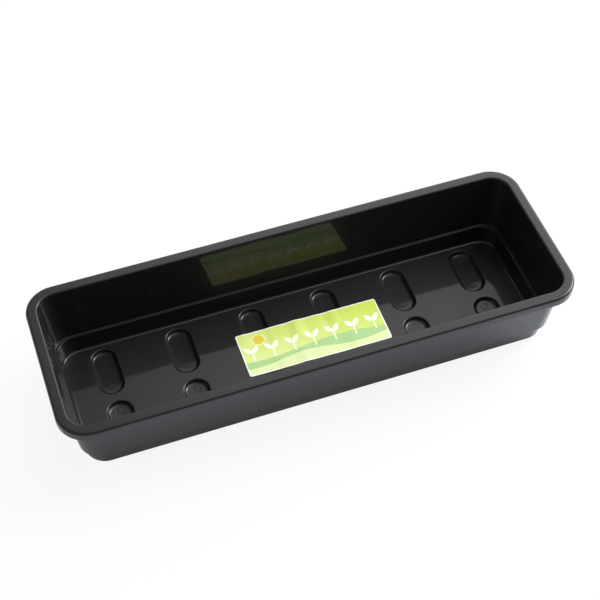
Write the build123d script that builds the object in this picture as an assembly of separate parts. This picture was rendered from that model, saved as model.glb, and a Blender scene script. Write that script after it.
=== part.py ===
from build123d import *
import math
import os

# Potting soil tray: one black plastic moulding, with a printed label stuck on its floor.
# Millimetres, +Z up, +X along the tray. The origin is under the tray's middle, on what its feet stand on.

# Rim: a flat land round the top, with a skirt turned down from its outer edge
rim_length = 560.0
rim_width = 197.5
rim_corner_radius = 33.0
rim_land = 12.0             # from the rim's outer edge to the top of the inner wall
rim_rounding = 3.0          # the rim's outer edge
mouth_rounding = 2.0
skirt_height = 10.5
skirt_edge_bevel = 0.6

# Walls and floor: an even wall, drawn in by its draft, with a ledge round the inside
wall = 2.0
wall_draft = 6.0            # degrees from upright
inner_depth = 89.0          # from the rim's top to the floor
ledge_depth = 67.5          # from the rim's top to the ledge
ledge_width = 3.0
ledge_bevel = 0.7
floor_rounding = 3.0        # where the inner wall runs into the floor

# Pockets in the floor, which stand out below it as feet
pocket_columns = 6
pocket_rows = 2
pocket_width = 28.0
pocket_depth = 4.5
pocket_draft = 22.0         # degrees from upright
pocket_rounding = 3.0       # where a pocket's wall runs into its bottom
pocket_end_margin = 44.5    # from the floor's end to the middle of the nearest pocket
pocket_side_margin = 7.5    # from the floor's side to the end of the nearest pocket
pocket_row_gap = 10.6

# Label, a little off the middle of the floor
label_length = 164.0
label_width = 58.0
label_thickness = 0.2
label_corner_radius = 2.5
label_offset_x = 14.5
label_offset_y = 5.0
label_turn = -0.3           # degrees

# What follows from those sizes
foot_height = pocket_depth
floor_height = foot_height + wall
rim_height = floor_height + inner_depth
inner_corner_radius = rim_corner_radius - rim_land
draft_slope = math.tan(math.radians(wall_draft))
wall_across = wall / math.cos(math.radians(wall_draft))    # the wall's thickness, measured level
pocket_slope = math.tan(math.radians(pocket_draft))
foot_wall_across = wall / math.cos(math.radians(pocket_draft))

floor_inset = rim_land + inner_depth * draft_slope + ledge_width
floor_length = rim_length - 2 * floor_inset
floor_width = rim_width - 2 * floor_inset
pocket_pitch = (floor_length - 2 * pocket_end_margin) / (pocket_columns - 1)
pocket_run = floor_width - 2 * pocket_side_margin - (pocket_rows - 1) * pocket_row_gap
pocket_length = pocket_run / pocket_rows
pocket_places = GridLocations(pocket_pitch, pocket_length + pocket_row_gap, pocket_columns, pocket_rows)


def level_section(inset, radius, height):
    """The tray's plan outline, drawn in by an inset from the rim's outer edge."""
    outline = RectangleRounded(rim_length - 2 * inset, rim_width - 2 * inset, radius)
    return Pos(0, 0, height) * outline


def drafted_body(stations, grow):
    """A solid through stations (depth below the rim, step inwards from the upper wall), from the top down.

    Its sides have the wall's draft and its corners keep one radius all the way down.
    """
    sections = []
    for depth, step in stations:
        inset = rim_land + depth * draft_slope + step - grow
        sections.append(level_section(inset, inner_corner_radius + grow, rim_height - depth))
    return loft(sections, ruled=True)


def drafted_obround(top, bottom, rounding, grow):
    """A long round-ended plug between two depths below the floor, with the pockets' draft.

    The flat round its bottom edge touches the rounding that the edge stands for.
    """
    turn = math.radians(90 - pocket_draft)
    leg = rounding * (math.tan(turn / 2) - math.tan(turn / 4))
    above_bottom = bottom - leg * math.cos(math.radians(pocket_draft))
    sections = []
    for depth, step in ((top, 0), (above_bottom, 0), (bottom, leg)):
        side = grow - depth * pocket_slope - step
        outline = SlotOverall(pocket_length + 2 * side, pocket_width + 2 * side, rotation=90)
        sections.append(Pos(0, 0, floor_height - depth) * outline)
    return loft(sections, ruled=True)


def edges_at(body, height):
    """The level edges of a body at one height."""
    near = 0.01
    return body.edges().filter_by_position(Axis.Z, height - near, height + near)


def top_face(body):
    """The rim's flat land."""
    return body.faces().sort_by(Axis.Z)[-1]


def make_rim():
    """The land round the top and the skirt, open below."""
    skirt_bottom = rim_height - skirt_height
    block = extrude(level_section(0, rim_corner_radius, skirt_bottom), amount=skirt_height)
    channel = extrude(level_section(wall, rim_corner_radius - wall, skirt_bottom), amount=skirt_height - wall)
    return block - channel


def make_outside():
    """The tray's outer form below the rim, solid, with the feet under its floor."""
    step_depth = ledge_depth + wall
    bottom_depth = inner_depth + wall
    base_bevel = (floor_rounding + wall) * (2 - math.sqrt(2))    # touches a rounding of the floor's own middle
    upper = drafted_body([(0, 0), (step_depth - ledge_bevel, 0), (step_depth, ledge_bevel)], wall_across)
    above_base = (bottom_depth - base_bevel, ledge_width)
    base = (bottom_depth, ledge_width + base_bevel)
    lower = drafted_body([(step_depth, ledge_width), above_base, base], wall_across)
    foot = drafted_obround(wall, floor_height, pocket_rounding + wall, foot_wall_across)
    return upper + lower + [place * foot for place in pocket_places]


def make_hollow():
    """The space inside the tray, with the pockets under its floor."""
    ledge_edge = (ledge_depth, ledge_width - ledge_bevel)
    below_edge = (ledge_depth + ledge_bevel, ledge_width)
    upper = drafted_body([(0, 0), (ledge_depth, 0)], 0)
    lower = drafted_body([ledge_edge, below_edge, (inner_depth, ledge_width)], 0)
    lower = fillet(edges_at(lower, floor_height), floor_rounding)
    pocket = drafted_obround(0, pocket_depth, pocket_rounding, 0)
    return upper + lower + [place * pocket for place in pocket_places]


def make_tray_body():
    """The moulding: rim, walls, ledge, floor and feet in one piece."""
    body = make_rim() + make_outside() - make_hollow()
    body = body.fillet(rim_rounding, top_face(body).outer_wire().edges())
    body = body.fillet(mouth_rounding, top_face(body).inner_wires()[0].edges())
    return chamfer(edges_at(body, rim_height - skirt_height), skirt_edge_bevel)


def make_floor_label():
    """The label, flat on the floor and bridging the pockets under it."""
    outline = RectangleRounded(label_length, label_width, label_corner_radius)
    place = Pos(label_offset_x, label_offset_y, floor_height) * Rot(0, 0, label_turn)
    return place * extrude(outline, amount=label_thickness)


os.makedirs("parts", exist_ok=True)
export_step(make_tray_body(), "parts/tray_body.step")
export_step(make_floor_label(), "parts/floor_label.step")
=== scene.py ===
import math
from collections import namedtuple

import bmesh
import bpy
from mathutils import Matrix, Vector


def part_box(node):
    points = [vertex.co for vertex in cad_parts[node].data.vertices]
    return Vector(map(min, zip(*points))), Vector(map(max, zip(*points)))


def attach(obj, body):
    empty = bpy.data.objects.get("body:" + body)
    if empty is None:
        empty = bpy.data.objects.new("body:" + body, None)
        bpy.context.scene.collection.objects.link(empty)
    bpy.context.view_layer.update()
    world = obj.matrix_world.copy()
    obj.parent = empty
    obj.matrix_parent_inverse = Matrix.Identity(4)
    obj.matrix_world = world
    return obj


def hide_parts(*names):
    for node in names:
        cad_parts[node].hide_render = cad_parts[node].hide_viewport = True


# Potting soil tray: one black polypropylene moulding and the printed label stuck on its floor.
# Metres, in the CAD frame: +X along the tray, +Y away from the viewer, +Z up, the feet on z = 0.

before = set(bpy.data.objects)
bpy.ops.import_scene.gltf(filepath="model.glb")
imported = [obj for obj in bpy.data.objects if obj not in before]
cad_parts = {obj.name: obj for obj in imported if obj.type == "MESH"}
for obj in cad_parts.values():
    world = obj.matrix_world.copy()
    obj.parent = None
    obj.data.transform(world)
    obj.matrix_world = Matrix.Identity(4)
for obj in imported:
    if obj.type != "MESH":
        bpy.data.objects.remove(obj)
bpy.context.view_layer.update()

MM = 0.001

# Rim
tray_low, tray_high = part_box("tray_body")
rim_length = tray_high.x - tray_low.x
rim_width = tray_high.y - tray_low.y
rim_height = tray_high.z
rim_corner_radius = 33 * MM
rim_land = 12 * MM              # from the rim's outer edge to the mouth
rim_rounding = 3 * MM           # the rim's outer edge
mouth_rounding = 2 * MM
skirt_height = 10.5 * MM
skirt_rounding = 0.7 * MM

# Walls, ledge and floor
label_low, label_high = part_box("floor_label")
floor_height = label_low.z
wall = 2 * MM
wall_draft = math.radians(6)
ledge_depth = 67.5 * MM         # from the rim's top
ledge_width = 3 * MM
ledge_rounding = 0.9 * MM
floor_rounding = 3 * MM
floor_margin = 4.5 * MM         # from the floor's sharp edge to its flat field
base_margin = 5.5 * MM          # the same below

# Pockets in the floor, which are the feet below it
pocket_columns = 6
pocket_rows = 2
pocket_width = 28 * MM
pocket_draft = math.radians(22)
pocket_end_margin = 44.5 * MM
pocket_side_margin = 7.5 * MM
pocket_row_gap = 10.6 * MM
pocket_margin = 1.5 * MM        # flat ring kept round a pocket or a foot
pocket_lip_rounding = 1.3 * MM
pocket_bottom_rounding = 3.4 * MM
foot_root_rounding = 1 * MM
foot_edge_rounding = pocket_bottom_rounding + wall
foot_field_margin = 4.5 * MM

# The field of a pocket's bottom, which hangs a little in its middle
pocket_field_inset = 4.2 * MM   # from the pocket's edge in the floor
pocket_sag = 0.14 * MM
pocket_grid = 2.5 * MM

# Ejector marks in that field: place from the pocket's middle, and how deep the groove is
ejector_marks = [(20.8 * MM, 0.192 * MM), (-15.5 * MM, 0.016 * MM)]
# A mark's radius and share of that depth, from the outside in
ejector_profile = [
    (5.0 * MM, 0.0),
    (4.7 * MM, 0.1875),
    (3.9 * MM, 1.0),
    (3.1 * MM, 0.1875),
    (2.8 * MM, 0.0),
    (2.2 * MM, 0.0),
    (0.8 * MM, 0.0),
]

# Label
label_length = 164 * MM
label_width = 58 * MM
label_thickness = label_high.z - label_low.z
label_corner_radius = 2.5 * MM
label_turn = math.radians(-0.3)
label_centre = (label_low + label_high) / 2
label_grid = 2 * MM
label_sag = 0.5 * MM            # how far the film dips over a pocket
label_sag_inset = 4 * MM        # from the pocket's edge to where it dips that far
label_sag_spread = 6 * MM       # how far outside that the dip fades
# Creases of the label: place along the tray, towards the far edge (1) or the near one (-1), and rise
label_ripples = [(2 * MM, 1, 0.9 * MM), (46 * MM, 1, 0.6 * MM), (-2 * MM, -1, 0.6 * MM)]
label_ripple_from = 10 * MM     # from the label's middle towards its edge
label_ripple_spread = 10 * MM   # how far outside that a crease fades
film_edge_angle = math.radians(40)      # edges of the film that turn more stay sharp

# How finely curves are divided
corner_steps = 28
rounding_steps = 6
label_corner_steps = 6
ejector_sides = 32
table_sides = 96
widest_rounding = 5 * MM        # what a full bevel weight stands for
merge_distance = 0.001 * MM

# What follows from those sizes
draft_slope = math.tan(wall_draft)
wall_across = wall * math.hypot(1, draft_slope)     # a drafted wall, measured level
inner_corner_radius = rim_corner_radius - rim_land
outer_corner_radius = inner_corner_radius + wall_across
ledge_height = rim_height - ledge_depth
floor_inset = rim_land + (rim_height - floor_height) * draft_slope + ledge_width
floor_length = rim_length - 2 * floor_inset
floor_width = rim_width - 2 * floor_inset
foot_height = floor_height - wall
pocket_depth = foot_height
pocket_slope = math.tan(pocket_draft)
pocket_pitch = (floor_length - 2 * pocket_end_margin) / (pocket_columns - 1)
pocket_length = (floor_width - 2 * pocket_side_margin - (pocket_rows - 1) * pocket_row_gap) / pocket_rows
pocket_straight = (pocket_length - pocket_width) / 2    # from the middle to where its round ends start
row_pitch = pocket_length + pocket_row_gap
pocket_places = [
    Vector(((column - (pocket_columns - 1) / 2) * pocket_pitch,
            (row - (pocket_rows - 1) / 2) * row_pitch, 0))
    for column in range(pocket_columns)
    for row in range(pocket_rows)
]


# Modelling by hand

# A level outline of a piece; the rounding is that of the corner which it makes in the piece's profile
Outline = namedtuple("Outline", "name inset height corner_radius rounding")


def start_piece(name):
    """A new empty piece at the origin, in edit mode."""
    bpy.ops.object.select_all(action="DESELECT")
    bpy.ops.mesh.primitive_plane_add(size=1, enter_editmode=True)
    bpy.ops.mesh.delete(type="VERT")
    piece = bpy.context.object
    piece.name = name
    piece.data.name = name
    return piece


def add_outline(name, length, width, radius, height):
    """Adds a level rounded rectangle of edges and keeps its points as a named group."""
    bpy.ops.mesh.select_all(action="DESELECT")
    bpy.ops.mesh.primitive_plane_add(size=1, location=(0, 0, height))
    bpy.ops.transform.resize(value=(length, width, 1))
    bpy.ops.mesh.bevel(offset=radius, segments=corner_steps, affect="VERTICES")
    bpy.ops.mesh.remove_doubles(threshold=merge_distance)
    keep(name)
    bpy.ops.mesh.delete(type="ONLY_FACE")


def keep(name):
    """Adds the selected points to a named group of the piece."""
    groups = bpy.context.object.vertex_groups
    groups.active = groups.get(name) or groups.new(name=name)
    bpy.ops.object.vertex_group_assign()


def pick(*names):
    """Selects the points of the named groups, and nothing else."""
    bpy.ops.mesh.select_all(action="DESELECT")
    for name in names:
        bpy.ops.object.vertex_group_set_active(group=name)
        bpy.ops.object.vertex_group_select()


def round_outline(before, outline, after):
    """Marks an outline for rounding, where a profile turns from one straight run to the next."""
    start, corner, end = [Vector((each.inset, each.height)) for each in (before, outline, after)]
    turn = (corner - start).angle(end - corner)
    pick(outline.name)
    bpy.ops.transform.edge_bevelweight(value=outline.rounding * math.tan(turn / 2) / widest_rounding)


def skin_profile(profile, draw):
    """Makes a piece's surface from a profile of outlines, each of them drawn and joined to the next."""
    for outline in profile:
        draw(outline)
    # Level rings come first: their points pair up rightly only while no other faces touch them
    runs = sorted(zip(profile, profile[1:]), key=lambda run: run[0].height != run[1].height)
    for first, second in runs:
        pick(first.name, second.name)
        bpy.ops.mesh.bridge_edge_loops()
    for before, outline, after in zip(profile, profile[1:], profile[2:]):
        if outline.rounding:
            round_outline(before, outline, after)


def finish_piece(piece):
    """Closes the seams, turns the faces outwards, leaves edit mode, and rounds and smooths the piece."""
    bpy.ops.mesh.select_all(action="SELECT")
    bpy.ops.mesh.remove_doubles(threshold=merge_distance)
    bpy.ops.mesh.normals_make_consistent(inside=False)
    bpy.ops.object.mode_set(mode="OBJECT")
    bpy.ops.object.vertex_group_remove(all=True)
    rounding = piece.modifiers.new("rounding", "BEVEL")
    rounding.limit_method = "WEIGHT"
    rounding.width = widest_rounding
    rounding.segments = rounding_steps
    rounding.use_clamp_overlap = False
    bpy.ops.object.modifier_apply(modifier=rounding.name)
    bpy.ops.object.shade_smooth()
    weighting = piece.modifiers.new("even_shading", "WEIGHTED_NORMAL")
    weighting.keep_sharp = True
    bpy.ops.object.modifier_apply(modifier=weighting.name)


def lift(piece, chosen, rise, spread, falloff):
    """Lifts the chosen points of a piece, and those near them less."""
    bpy.ops.mesh.select_all(action="DESELECT")
    mesh = bmesh.from_edit_mesh(piece.data)
    for vertex in mesh.verts:
        vertex.select = chosen(vertex.co) and not vertex.hide
    mesh.select_flush(True)
    bmesh.update_edit_mesh(piece.data)
    bpy.ops.transform.translate(value=(0, 0, rise), use_proportional_edit=True,
                                proportional_edit_falloff=falloff, proportional_size=spread)


# Tray

def draw_tray_outline(outline):
    """Draws an outline of the tray, set in from the rim's outer edge."""
    inset = outline.inset
    add_outline(outline.name, rim_length - 2 * inset, rim_width - 2 * inset,
                outline.corner_radius, outline.height)


def wall_inset(height, step=0.0):
    """How far the inner wall stands in from the rim's outer edge, at one height."""
    return rim_land + (rim_height - height) * draft_slope + step


def shape_walls():
    """Floor edge, walls, ledge, rim, skirt and base: one skin, from the floor up and round to the base."""
    skirt_bottom = rim_height - skirt_height
    land_bottom = rim_height - wall
    step_height = ledge_height - wall
    wall_root = wall_inset(land_bottom) - wall_across
    step_edge = wall_inset(step_height) - wall_across
    step_root = wall_inset(step_height, ledge_width) - wall_across
    base_edge = wall_inset(foot_height, ledge_width) - wall_across
    base_rounding = floor_rounding + wall
    inner = inner_corner_radius
    outer = outer_corner_radius
    skirt_inside = rim_corner_radius - wall
    skin_profile([
        Outline("floor_field", floor_inset + floor_margin, floor_height, inner - floor_margin, 0),
        Outline("floor_edge", floor_inset, floor_height, inner, floor_rounding),
        Outline("ledge_edge", wall_inset(ledge_height, ledge_width), ledge_height, inner, ledge_rounding),
        Outline("ledge_root", wall_inset(ledge_height), ledge_height, inner, ledge_rounding),
        Outline("mouth", rim_land, rim_height, inner, mouth_rounding),
        Outline("rim_edge", 0, rim_height, rim_corner_radius, rim_rounding),
        Outline("skirt_edge", 0, skirt_bottom, rim_corner_radius, skirt_rounding),
        Outline("skirt_inner_edge", wall, skirt_bottom, skirt_inside, skirt_rounding),
        Outline("skirt_root", wall, land_bottom, skirt_inside, skirt_rounding),
        Outline("wall_root", wall_root, land_bottom, outer, skirt_rounding),
        Outline("step_edge", step_edge, step_height, outer, ledge_rounding),
        Outline("step_root", step_root, step_height, outer, ledge_rounding),
        Outline("base_edge", base_edge, foot_height, outer, base_rounding),
        Outline("base_field", base_edge + base_margin, foot_height, outer - base_margin, 0),
    ], draw_tray_outline)


def draw_pocket_outline(outline):
    """Draws an outline with round ends, set in from the pocket's edge in the floor."""
    width = pocket_width - 2 * outline.inset
    add_outline(outline.name, width, pocket_length - 2 * outline.inset, width / 2, outline.height)


def inside_pocket(point, place):
    """How far a point lies inside the edge of a pocket with its middle at a place, seen from above."""
    across = point.x - place.x
    along = max(abs(point.y - place.y) - pocket_straight, 0)
    return pocket_width / 2 - math.hypot(across, along)


def shape_pocket():
    """One pocket of the floor and the foot below it, with the ejector marks of the mould in its bottom."""
    pocket = start_piece("pocket")
    bottom_height = floor_height - pocket_depth
    round_ends = None               # the corner radius of these outlines is half their width
    skin_profile([
        Outline("pocket_ring", -pocket_margin, floor_height, round_ends, 0),
        Outline("pocket_lip", 0, floor_height, round_ends, pocket_lip_rounding),
        Outline("pocket_bottom", pocket_depth * pocket_slope, bottom_height, round_ends,
                pocket_bottom_rounding),
        Outline("pocket_field", pocket_field_inset, bottom_height, round_ends, 0),
    ], draw_pocket_outline)
    foot_across = wall * math.hypot(1, pocket_slope)
    root_inset = wall * pocket_slope - foot_across
    edge_inset = floor_height * pocket_slope - foot_across
    skin_profile([
        Outline("foot_ring", root_inset - pocket_margin, foot_height, round_ends, 0),
        Outline("foot_root", root_inset, foot_height, round_ends, foot_root_rounding),
        Outline("foot_edge", edge_inset, 0, round_ends, foot_edge_rounding),
        Outline("foot_field", edge_inset + foot_field_margin, 0, round_ends, 0),
    ], draw_pocket_outline)
    pick("foot_field")
    bpy.ops.mesh.edge_face_add()
    add_ejector_marks(bottom_height)
    pick("pocket_field", "ejector_edge")
    bpy.ops.mesh.fill(use_beauty=True)
    sag_field(pocket)
    bpy.ops.object.mode_set(mode="OBJECT")
    return pocket


def pick_field(pocket):
    """Selects the faces of the field of a pocket's bottom, and nothing else."""
    between_faces = wall / 2        # the foot's own face is below this, the field above it
    bpy.ops.mesh.select_all(action="DESELECT")
    mesh = bmesh.from_edit_mesh(pocket.data)
    for face in mesh.faces:
        middle = face.calc_center_median()
        if middle.z > between_faces and inside_pocket(middle, Vector()) > pocket_field_inset:
            face.select_set(True)
    bmesh.update_edit_mesh(pocket.data)


def sag_field(pocket):
    """Cuts the field of a pocket's bottom into a grid and lets it hang, deepest along its middle line."""
    half_width = pocket_width / 2 - pocket_field_inset
    half_length = pocket_length / 2 - pocket_field_inset
    for half, direction in ((half_width, Vector((1, 0, 0))), (half_length, Vector((0, 1, 0)))):
        count = round(half / pocket_grid)
        for step in range(1 - count, count):
            pick_field(pocket)
            bpy.ops.mesh.bisect(plane_co=direction * half * step / count, plane_no=direction)
    pick_field(pocket)
    bpy.ops.mesh.hide(unselected=True)
    lift(pocket, lambda point: abs(point.x) < merge_distance and abs(point.y) < pocket_straight,
         -pocket_sag, half_width, "INVERSE_SQUARE")
    bpy.ops.mesh.reveal(select=False)


def add_ejector_marks(height):
    """Round marks that the mould's pins leave in a pocket's bottom: a shallow groove round a level core."""
    for place, groove_depth in ejector_marks:
        middle = Vector((0, place, height))
        bpy.ops.mesh.select_all(action="DESELECT")
        bpy.ops.mesh.primitive_circle_add(vertices=ejector_sides, radius=ejector_profile[0][0],
                                          location=middle)
        keep("ejector_edge")
        for (radius, share), (next_radius, next_share) in zip(ejector_profile, ejector_profile[1:]):
            shrink = next_radius / radius
            rise = (share - next_share) * groove_depth
            bpy.ops.mesh.extrude_edges_move(TRANSFORM_OT_translate={"value": (0, 0, rise)})
            bpy.ops.transform.resize(value=(shrink, shrink, 1), center_override=middle)
            bpy.ops.object.vertex_group_remove_from()
        bpy.ops.mesh.edge_face_add()


def copy_to(piece, place):
    """A copy of a piece, with its own mesh, moved to a place."""
    bpy.ops.object.select_all(action="DESELECT")
    piece.select_set(True)
    bpy.context.view_layer.objects.active = piece
    bpy.ops.object.duplicate()
    bpy.ops.transform.translate(value=place)
    return bpy.context.object


def make_tray():
    """The whole moulding: walls and rim, twelve pockets, and the floor between them."""
    tray = start_piece("tray")
    shape_walls()
    bpy.ops.object.mode_set(mode="OBJECT")
    pocket = shape_pocket()
    copies = [copy_to(pocket, place) for place in pocket_places]
    bpy.data.objects.remove(pocket)
    bpy.ops.object.select_all(action="DESELECT")
    for piece in copies + [tray]:
        piece.select_set(True)
    bpy.context.view_layer.objects.active = tray
    bpy.ops.object.join()
    bpy.ops.object.mode_set(mode="EDIT")
    pick("floor_field", "pocket_ring")
    bpy.ops.mesh.fill(use_beauty=True)
    pick("base_field", "foot_ring")
    bpy.ops.mesh.fill(use_beauty=True)
    finish_piece(tray)
    return tray


# Label

def over_a_pocket(point):
    """Whether a point of the label lies well inside the edge of a pocket."""
    return any(inside_pocket(point, place) > label_sag_inset for place in pocket_places)


def make_label():
    """A printed film on the floor, which dips where it bridges the pockets and ripples at its edges."""
    label = start_piece("label")
    bpy.ops.mesh.primitive_plane_add(size=1)
    bpy.ops.transform.resize(value=(label_length, label_width, 1))
    bpy.ops.mesh.bevel(offset=label_corner_radius, segments=label_corner_steps, affect="VERTICES")
    for length, direction in ((label_length, Vector((1, 0, 0))), (label_width, Vector((0, 1, 0)))):
        count = round(length / label_grid)
        for step in range(1, count):
            bpy.ops.mesh.select_all(action="SELECT")
            bpy.ops.mesh.bisect(plane_co=direction * length * (step / count - 0.5), plane_no=direction)
    bpy.ops.object.mode_set(mode="OBJECT")
    label.rotation_euler.z = label_turn
    label.location = (label_centre.x, label_centre.y, label_high.z)
    bpy.ops.object.transform_apply(location=True, rotation=True, scale=True)
    bpy.ops.object.mode_set(mode="EDIT")
    lift(label, over_a_pocket, -label_sag, label_sag_spread, "SMOOTH")
    for place, side, rise in label_ripples:
        lift(label, lambda point: abs(point.x - place) < label_grid
             and side * (point.y - label_centre.y) > label_ripple_from,
             rise, label_ripple_spread, "SMOOTH")
    bpy.ops.object.mode_set(mode="OBJECT")
    film_thickness = label.modifiers.new("film_thickness", "SOLIDIFY")
    film_thickness.thickness = label_thickness
    film_thickness.offset = -1
    bpy.ops.object.modifier_apply(modifier=film_thickness.name)
    bpy.ops.object.shade_smooth_by_angle(angle=film_edge_angle)
    return label


# Materials

def linear(hex_colour):
    """The linear colour of an sRGB hex value."""
    parts = [int(hex_colour[i:i + 2], 16) / 255 for i in (1, 3, 5)]
    return [p / 12.92 if p <= 0.04045 else ((p + 0.055) / 1.055) ** 2.4 for p in parts] + [1]


def node(tree, kind, inputs=None, **settings):
    """Adds a node with its settings; an input takes a value, a socket, or a node's first output in use."""
    made = tree.nodes.new(kind)
    for key, value in settings.items():
        setattr(made, key, value)
    for socket, value in (inputs or {}).items():
        if isinstance(value, bpy.types.Node):
            value = next(output for output in value.outputs if output.enabled)
        if isinstance(value, bpy.types.NodeSocket):
            tree.links.new(value, made.inputs[socket])
        else:
            made.inputs[socket].default_value = value
    return made


def new_material(name):
    """A new material with an empty node tree, and that tree."""
    material = bpy.data.materials.new(name)
    material.use_nodes = True
    material.node_tree.nodes.clear()
    return material, material.node_tree


def black_polypropylene():
    """Polypropylene, black all through, injection moulded in a polished tool.

    It gives the eye a deep neutral black: clear reflections in its skin with a broad haze round them,
    which waver a little where thick and thin places shrank unevenly.
    """
    material, tree = new_material("black_polypropylene_moulded")
    shrink_size = 70 * MM           # thick and thin places
    shrink_depth = 0.2 * MM
    flow_size = 9 * MM              # clouds in the plastic
    flow_low, flow_high = 0.3, 0.7  # the noise is seldom outside these
    haze_least, haze_most = 0.34, 0.42
    haze_ior, skin_ior = 1.27, 1.31     # how strongly the haze and the skin reflect
    place = node(tree, "ShaderNodeTexCoord").outputs["Object"]
    wave = node(tree, "ShaderNodeTexNoise", {"Vector": place, "Scale": 1 / shrink_size, "Detail": 1.0})
    flow = node(tree, "ShaderNodeTexNoise", {"Vector": place, "Scale": 1 / flow_size, "Detail": 4.0})
    haze = node(tree, "ShaderNodeMapRange", {
        "Value": flow, "From Min": flow_low, "From Max": flow_high,
        "To Min": haze_least, "To Max": haze_most})
    bump = node(tree, "ShaderNodeBump", {"Height": wave, "Strength": 1.0, "Distance": shrink_depth})
    colour = node(tree, "ShaderNodeMix", {
        "Factor": flow, "A": linear("#1a1a1b"), "B": linear("#1e1e1f")}, data_type="RGBA")
    shader = node(tree, "ShaderNodeBsdfPrincipled", {
        "Base Color": colour, "Roughness": haze, "IOR": haze_ior, "Normal": bump,
        "Coat Weight": 1.0, "Coat Roughness": 0.06, "Coat IOR": skin_ior, "Coat Normal": bump})
    node(tree, "ShaderNodeOutputMaterial", {"Surface": shader})
    return material


def printed_label_film():
    """Printed polypropylene film under a thin gloss varnish.

    It gives the eye soft lime greens inside a white edge, a row of white seedlings over green hills,
    a yellow sun and a faint sheen.
    """
    material, tree = new_material("printed_label_film")
    place = node(tree, "ShaderNodeTexCoord").outputs["Object"]
    # The print is measured in millimetres from the label's middle
    on_label = node(tree, "ShaderNodeMapping", {
        "Vector": place, "Location": (label_centre.x, label_centre.y, 0), "Rotation": (0, 0, label_turn),
        "Scale": (MM, MM, MM)}, vector_type="TEXTURE")
    parts = node(tree, "ShaderNodeSeparateXYZ", {"Vector": on_label})
    along, across = parts.outputs["X"], parts.outputs["Y"]
    flat = node(tree, "ShaderNodeCombineXYZ", {"X": along, "Y": across})

    # Ground: lime, softly mottled, paler to the lower left
    mottle_size = 24
    mottle_weight = 60.0            # how far the mottling moves the change of tint
    slope = 0.3                     # how much of that change runs along the label
    pale_at, lime_at = -10.0, 70.0
    mottle = node(tree, "ShaderNodeTexNoise", {"Vector": flat, "Scale": 1 / mottle_size, "Detail": 1.0})
    slant = node(tree, "ShaderNodeMath", {0: along, 1: slope, 2: across}, operation="MULTIPLY_ADD")
    mottled = node(tree, "ShaderNodeMath", {0: mottle, 1: mottle_weight, 2: slant},
                   operation="MULTIPLY_ADD")
    shade = node(tree, "ShaderNodeMapRange", {"Value": mottled, "From Min": pale_at, "From Max": lime_at})
    colour = node(tree, "ShaderNodeMix", {
        "Factor": shade, "A": linear("#dcea9a"), "B": linear("#c8de5a")}, data_type="RGBA")

    # What is printed on the ground, from the lowest layer up: where, and its tint
    layers = []

    # Hills: base line, height and spread of the waves, where they start, and tint
    hills = [(-8, 3.5, 27, 0.6, "#a9ce88"), (-17, 3.0, 19, 2.2, "#d9e7a8")]
    for base, height, spread, start, tint in hills:
        turn = node(tree, "ShaderNodeMath", {0: along, 1: 1 / spread, 2: start}, operation="MULTIPLY_ADD")
        wave = node(tree, "ShaderNodeMath", {0: turn}, operation="SINE")
        crest = node(tree, "ShaderNodeMath", {0: wave, 1: height, 2: base}, operation="MULTIPLY_ADD")
        hill = node(tree, "ShaderNodeMath", {0: across, 1: crest}, operation="LESS_THAN")
        layers.append((hill, tint))

    # Seedlings: a straight stem and two leaves, each where two discs overlap, with a vein down its middle
    seedling_pitch = 23.4
    disc_radius = 8.8
    upper_disc, lower_disc = (-0.7, 8.75, 0), (8.7, 1.25, 0)
    stem_half, stem_middle, stem_reach = 0.7, -4.0, 7.0
    vein_half = 0.4
    aside = node(tree, "ShaderNodeMath", {0: along, 1: seedling_pitch / 2}, operation="PINGPONG")
    point = node(tree, "ShaderNodeCombineXYZ", {"X": aside, "Y": across})
    upper = node(tree, "ShaderNodeVectorMath", {0: point, 1: upper_disc}, operation="DISTANCE")
    lower = node(tree, "ShaderNodeVectorMath", {0: point, 1: lower_disc}, operation="DISTANCE")
    farther = node(tree, "ShaderNodeMath", {0: upper, 1: lower}, operation="MAXIMUM")
    leaf = node(tree, "ShaderNodeMath", {0: farther, 1: disc_radius}, operation="LESS_THAN")
    in_stem = node(tree, "ShaderNodeMath", {0: aside, 1: stem_half}, operation="LESS_THAN")
    on_stem = node(tree, "ShaderNodeMath", {0: across, 1: stem_middle, 2: stem_reach},
                   operation="COMPARE")
    stem = node(tree, "ShaderNodeMath", {0: in_stem, 1: on_stem}, operation="MULTIPLY")
    seedling = node(tree, "ShaderNodeMath", {0: leaf, 1: stem}, operation="MAXIMUM")
    on_vein = node(tree, "ShaderNodeMath", {0: upper, 1: lower, 2: vein_half}, operation="COMPARE")
    vein = node(tree, "ShaderNodeMath", {0: leaf, 1: on_vein}, operation="MULTIPLY")
    layers += [(seedling, "#fafcee"), (vein, "#d3e6a0")]

    # Sun, with a pale ring round it: radius and tint
    sun_middle = (-58.5, 17.0, 0)
    sun_discs = [(7.6, "#eaf0a8"), (6.2, "#e2cb42")]
    from_sun = node(tree, "ShaderNodeVectorMath", {0: flat, 1: sun_middle}, operation="DISTANCE")
    for radius, tint in sun_discs:
        sun = node(tree, "ShaderNodeMath", {0: from_sun, 1: radius}, operation="LESS_THAN")
        layers.append((sun, tint))

    # White edge left unprinted
    edge_width = 1.2
    for distance, size in ((along, label_length), (across, label_width)):
        edge_start = size / MM / 2 - edge_width
        outwards = node(tree, "ShaderNodeMath", {0: distance}, operation="ABSOLUTE")
        bare = node(tree, "ShaderNodeMath", {0: outwards, 1: edge_start}, operation="GREATER_THAN")
        layers.append((bare, "#f6f8f2"))

    for where, tint in layers:
        colour = node(tree, "ShaderNodeMix", {
            "Factor": where, "A": colour, "B": linear(tint)}, data_type="RGBA")
    shader = node(tree, "ShaderNodeBsdfPrincipled", {"Base Color": colour, "Roughness": 0.35, "IOR": 1.5})
    node(tree, "ShaderNodeOutputMaterial", {"Surface": shader})
    return material


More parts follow.
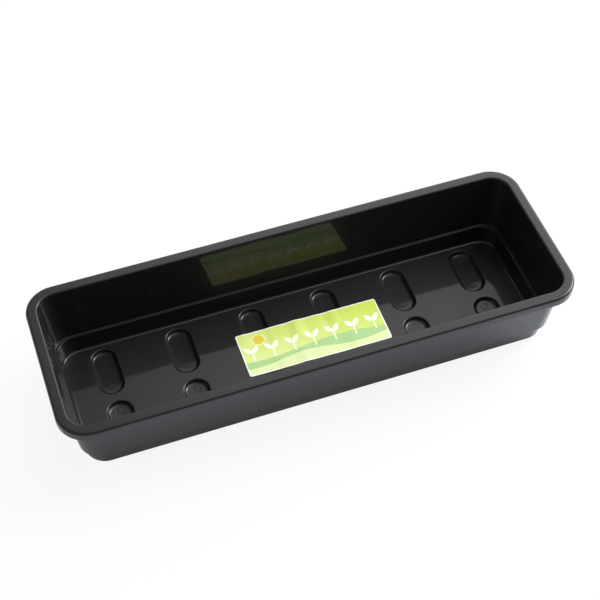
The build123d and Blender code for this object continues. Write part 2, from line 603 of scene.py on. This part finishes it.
def matt_white_paint():
    """Matt paint of a faintly cool white, on the table.

    It gives the eye a white ground on which the object's shadow stays faint. It is lightened a little in
    reflections too, and is clear from below.
    """
    material, tree = new_material("matt_white_paint")
    seen_lift = 0.9                 # how much of it is plain white, whatever the light
    mirrored_lift = 0.2             # the same in reflections
    path = node(tree, "ShaderNodeLightPath").outputs
    seen = node(tree, "ShaderNodeMath", {0: path["Is Camera Ray"], 1: seen_lift}, operation="MULTIPLY")
    bounced = node(tree, "ShaderNodeMath", {0: path["Is Glossy Ray"], 1: path["Is Transmission Ray"]},
                   operation="MAXIMUM")
    whitened = node(tree, "ShaderNodeMath", {0: bounced, 1: mirrored_lift, 2: seen},
                    operation="MULTIPLY_ADD")
    matt = node(tree, "ShaderNodeBsdfDiffuse", {"Color": linear("#eaeff8")})
    white = node(tree, "ShaderNodeEmission", {"Color": linear("#ffffff"), "Strength": 1.0})
    top = node(tree, "ShaderNodeMixShader", {0: whitened, 1: matt, 2: white})
    below = node(tree, "ShaderNodeNewGeometry").outputs["Backfacing"]
    clear = node(tree, "ShaderNodeBsdfTransparent")
    shader = node(tree, "ShaderNodeMixShader", {0: below, 1: top, 2: clear})
    node(tree, "ShaderNodeOutputMaterial", {"Surface": shader})
    return material


# Studio

def make_table():
    """The pale floor that the tray stands on."""
    table_radius = 20.0
    bpy.ops.object.select_all(action="DESELECT")
    bpy.ops.mesh.primitive_circle_add(vertices=table_sides, radius=table_radius, fill_type="NGON",
                                      location=(0, 0, 0))
    table = bpy.context.object
    table.name = "table"
    table.data.materials.append(matt_white_paint())


def light_studio():
    """A room of white walls under a dimmer ceiling, with brighter and darker places, and a soft lamp."""
    world = bpy.data.worlds.new("studio")
    bpy.context.scene.world = world
    world.use_nodes = True
    tree = world.node_tree
    tree.nodes.clear()
    overhead_axis = Vector((0.40, -0.12, 0.90)).normalized()
    glow_axis = Vector((0.62, 0.50, 0.60)).normalized()
    dark_axis = Vector((0.20, -0.80, 0.55)).normalized()
    direction = node(tree, "ShaderNodeTexCoord").outputs["Generated"]
    parts = node(tree, "ShaderNodeSeparateXYZ", {"Vector": direction})
    sideways, height = parts.outputs["X"], parts.outputs["Z"]
    to_overhead, to_glow, to_dark = [
        node(tree, "ShaderNodeVectorMath", {0: direction, 1: axis}, operation="DOT_PRODUCT")
        for axis in (overhead_axis, glow_axis, dark_axis)]

    # Changes of brightness: what each follows, where it starts and ends, the levels there, and how it runs
    changes = [
        (height, 0.1, 0.5, 1.0, 0.45, "SMOOTHSTEP"),            # white walls, dimmer ceiling
        (to_overhead, 0.88, 0.97, 0.0, 1.8, "SMOOTHSTEP"),      # a light overhead
        (sideways, -0.35, 0.1, 0.7, 1.0, "SMOOTHSTEP"),         # the left side is dimmer
        (to_glow, 0.75, 0.90, 0.0, 1.8, "SMOOTHSTEP"),          # a bright place high to the back right
        (height, 0.62, 0.90, 1.25, 0.5, "LINEAR"),              # which fades upwards
        (to_dark, 0.72, 0.92, 1.0, 0.25, "SMOOTHSTEP"),         # a dark place high in front
    ]
    room, overhead, side, glow, fall, dark = [
        node(tree, "ShaderNodeMapRange", {
            "Value": value, "From Min": start, "From Max": end, "To Min": first, "To Max": last},
            interpolation_type=run)
        for value, start, end, first, last, run in changes]
    above = node(tree, "ShaderNodeMath", {0: room, 1: overhead}, operation="ADD")
    shaded = node(tree, "ShaderNodeMath", {0: above, 1: side}, operation="MULTIPLY")
    lit = node(tree, "ShaderNodeMath", {0: glow, 1: fall, 2: shaded}, operation="MULTIPLY_ADD")
    strength = node(tree, "ShaderNodeMath", {0: lit, 1: dark}, operation="MULTIPLY")
    background = node(tree, "ShaderNodeBackground", {"Color": linear("#ffffff"), "Strength": strength})
    node(tree, "ShaderNodeOutputWorld", {"Surface": background})

    lamp_place = Vector((1.5, 0.2, 1.2))
    lamp_size = 0.9
    lamp_watts = 30
    bpy.ops.object.light_add(type="AREA", location=lamp_place)
    lamp = bpy.context.object
    lamp.name = "right_softbox"
    lamp.rotation_euler = lamp_place.to_track_quat("Z", "Y").to_euler()
    lamp.data.shape = "SQUARE"
    lamp.data.size = lamp_size
    lamp.data.energy = lamp_watts
    lamp.visible_camera = False


def place_camera():
    """The photograph's view: from the left front and above, a little rolled."""
    aim = Vector((0.01782, 0.06022, 0.00582))
    distance = 1.57
    azimuth = math.radians(-18.29)
    elevation = math.radians(51.06)
    roll = math.radians(1.08)
    image_width = 600               # pixels
    focal_pixels = 1393.7
    sensor_width = 36               # millimetres
    back = Vector((math.sin(azimuth) * math.cos(elevation), -math.cos(azimuth) * math.cos(elevation),
                   math.sin(elevation)))
    bpy.ops.object.camera_add(location=aim + back * distance)
    camera = bpy.context.object
    level = back.to_track_quat("Z", "Y").to_matrix().to_4x4()
    camera.matrix_world = Matrix.Translation(aim + back * distance) @ level @ Matrix.Rotation(-roll, 4, "Z")
    camera.data.sensor_width = sensor_width
    camera.data.lens = focal_pixels * sensor_width / image_width
    bpy.context.scene.camera = camera


bpy.context.scene.view_settings.view_transform = "Standard"
tray = make_tray()
tray.data.materials.append(black_polypropylene())
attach(tray, "root")
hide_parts("tray_body")

label = make_label()
label.data.materials.append(printed_label_film())
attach(label, "root")
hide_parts("floor_label")

make_table()
light_studio()
place_camera()
